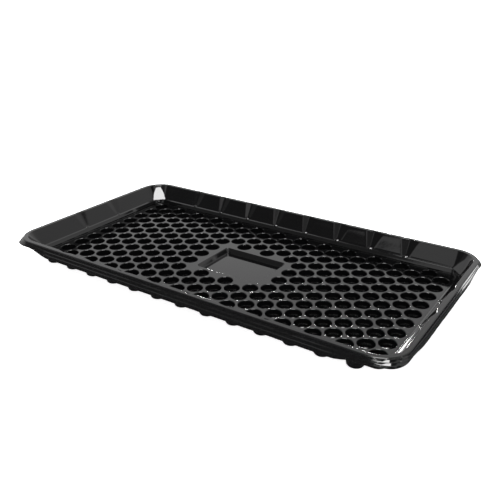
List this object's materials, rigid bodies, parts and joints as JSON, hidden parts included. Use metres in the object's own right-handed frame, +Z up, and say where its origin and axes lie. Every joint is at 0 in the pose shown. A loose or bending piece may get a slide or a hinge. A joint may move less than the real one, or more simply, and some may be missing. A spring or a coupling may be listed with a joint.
{
  "type": "humidity dome tray",
  "caption": "Shallow rectangular vacuum-formed tray with a floor of staggered round water cups, fluted leaning walls and a flat rim that a clear humidity dome stands on.",
  "frame": {"origin": "on the surface the tray stands on, under the centre of the tray", "axes": "+X along the tray's long side, +Y across it towards the rear wall, +Z up out of the open top"},
  "size_m": [0.543, 0.292, 0.039],
  "materials": {
    "black_sheet": "smooth glossy black formed sheet"
  },
  "bodies": {
    "root": {"cup_field_left": "black_sheet", "cup_field_right": "black_sheet", "cup_field_front": "black_sheet", "cup_field_rear": "black_sheet", "centre_pad": "black_sheet", "front_curb": "black_sheet", "rear_curb": "black_sheet", "left_curb": "black_sheet", "right_curb": "black_sheet", "front_panel_1": "black_sheet", "front_panel_2": "black_sheet", "front_panel_3": "black_sheet", "front_panel_4": "black_sheet", "front_panel_5": "black_sheet", "front_panel_6": "black_sheet", "front_panel_7": "black_sheet", "front_panel_8": "black_sheet", "front_panel_9": "black_sheet", "rear_panel_1": "black_sheet", "rear_panel_2": "black_sheet", "rear_panel_3": "black_sheet", "rear_panel_4": "black_sheet", "rear_panel_5": "black_sheet", "rear_panel_6": "black_sheet", "rear_panel_7": "black_sheet", "rear_panel_8": "black_sheet", "rear_panel_9": "black_sheet", "left_panel_1": "black_sheet", "left_panel_2": "black_sheet", "left_panel_3": "black_sheet", "right_panel_1": "black_sheet", "right_panel_2": "black_sheet", "right_panel_3": "black_sheet", "front_flutes": "black_sheet", "rear_flutes": "black_sheet", "left_flutes": "black_sheet", "right_flutes": "black_sheet", "wall_corner_front_left": "black_sheet", "wall_corner_front_right": "black_sheet", "wall_corner_rear_left": "black_sheet", "wall_corner_rear_right": "black_sheet", "rim_front": "black_sheet", "rim_rear": "black_sheet", "rim_left": "black_sheet", "rim_right": "black_sheet", "rim_corner_front_left": "black_sheet", "rim_corner_front_right": "black_sheet", "rim_corner_rear_left": "black_sheet", "rim_corner_rear_right": "black_sheet", "skirt_front": "black_sheet", "skirt_rear": "black_sheet", "skirt_left": "black_sheet", "skirt_right": "black_sheet", "skirt_corner_front_left": "black_sheet", "skirt_corner_front_right": "black_sheet", "skirt_corner_rear_left": "black_sheet", "skirt_corner_rear_right": "black_sheet"}
  },
  "joints": []
}
